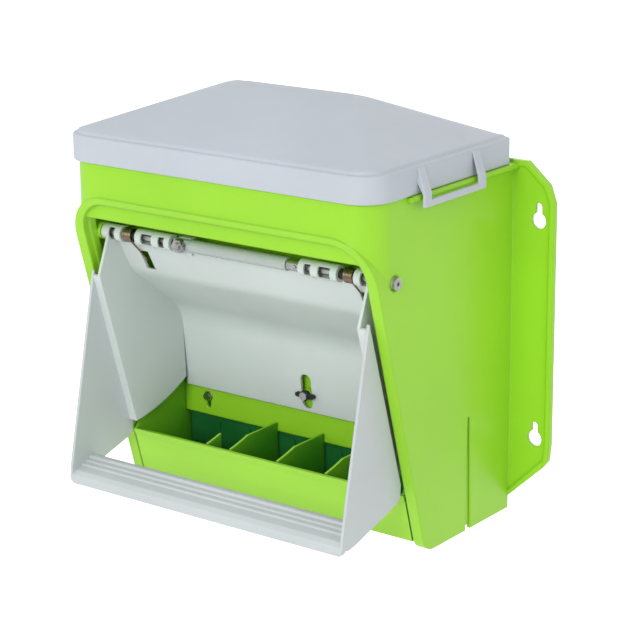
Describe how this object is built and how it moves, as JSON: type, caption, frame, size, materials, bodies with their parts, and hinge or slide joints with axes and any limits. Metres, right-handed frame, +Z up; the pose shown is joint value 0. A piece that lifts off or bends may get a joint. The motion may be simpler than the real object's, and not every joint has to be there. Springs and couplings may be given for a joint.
{
  "type": "wall-hung poultry feeder",
  "caption": "Wall-hung hopper with a hipped lift-off lid, a divided trough, and a sprung flap opened by a ribbed step bar.",
  "frame": {"origin": "centre of the rectangle of four keyholes, on the face that lies on the wall", "axes": "+X to the viewer's right when facing the flap, +Y into the wall, +Z up"},
  "size_m": [0.37, 0.2155, 0.3425],
  "materials": {
    "green_plastic": "moulded, satin gloss",
    "gate_plastic": "dark green, slightly clear",
    "grey_plastic": "moulded, satin",
    "damper_plastic": "smooth",
    "black_plastic": "matte",
    "white_plastic": "matte",
    "stainless": "brushed",
    "bright_steel": "polished",
    "spring_steel": "drawn wire, bronze tint"
  },
  "bodies": {
    "feeder": {"housing": "green_plastic", "hopper_wall": "green_plastic", "trough": "green_plastic", "hinge_rods": "stainless", "pivot_screws": "stainless", "pivot_bushes": "white_plastic", "spring_sleeves": "black_plastic", "damper_shaft": "stainless", "shaft_pin": "stainless"},
    "flap": {"flap": "grey_plastic", "step_frame": "grey_plastic", "spring_left": "spring_steel", "spring_right": "spring_steel", "damper_body": "damper_plastic", "damper_bolt": "stainless", "damper_nut": "stainless"},
    "gate": {"feed_gate": "gate_plastic", "gate_screws": "bright_steel", "gate_washers": "stainless", "gate_nuts": "stainless"},
    "latch": {"latch_wing": "black_plastic", "latch_screw": "bright_steel", "latch_washer": "stainless"},
    "lid": {"lid": "grey_plastic"}
  },
  "joints": [
    {"name": "flap_hinge", "type": "hinge", "parent": "feeder", "child": "flap", "pos_m": [0, -0.164, 0.071], "axis": [1, 0, 0], "range_deg": [-19.5, 0]},
    {"name": "gate_slide", "type": "slide", "parent": "feeder", "child": "gate", "axis": [0, 0, 1], "range_m": [-0.008, 0]},
    {"name": "latch_turn", "type": "hinge", "parent": "feeder", "child": "latch", "pos_m": [0, -0.0782, -0.065], "axis": [0, 1, 0], "range_deg": [0, 90]},
    {"name": "lid_lift", "type": "slide", "parent": "feeder", "child": "lid", "axis": [0, 0, 1], "range_m": [0, 0.12]}
  ]
}
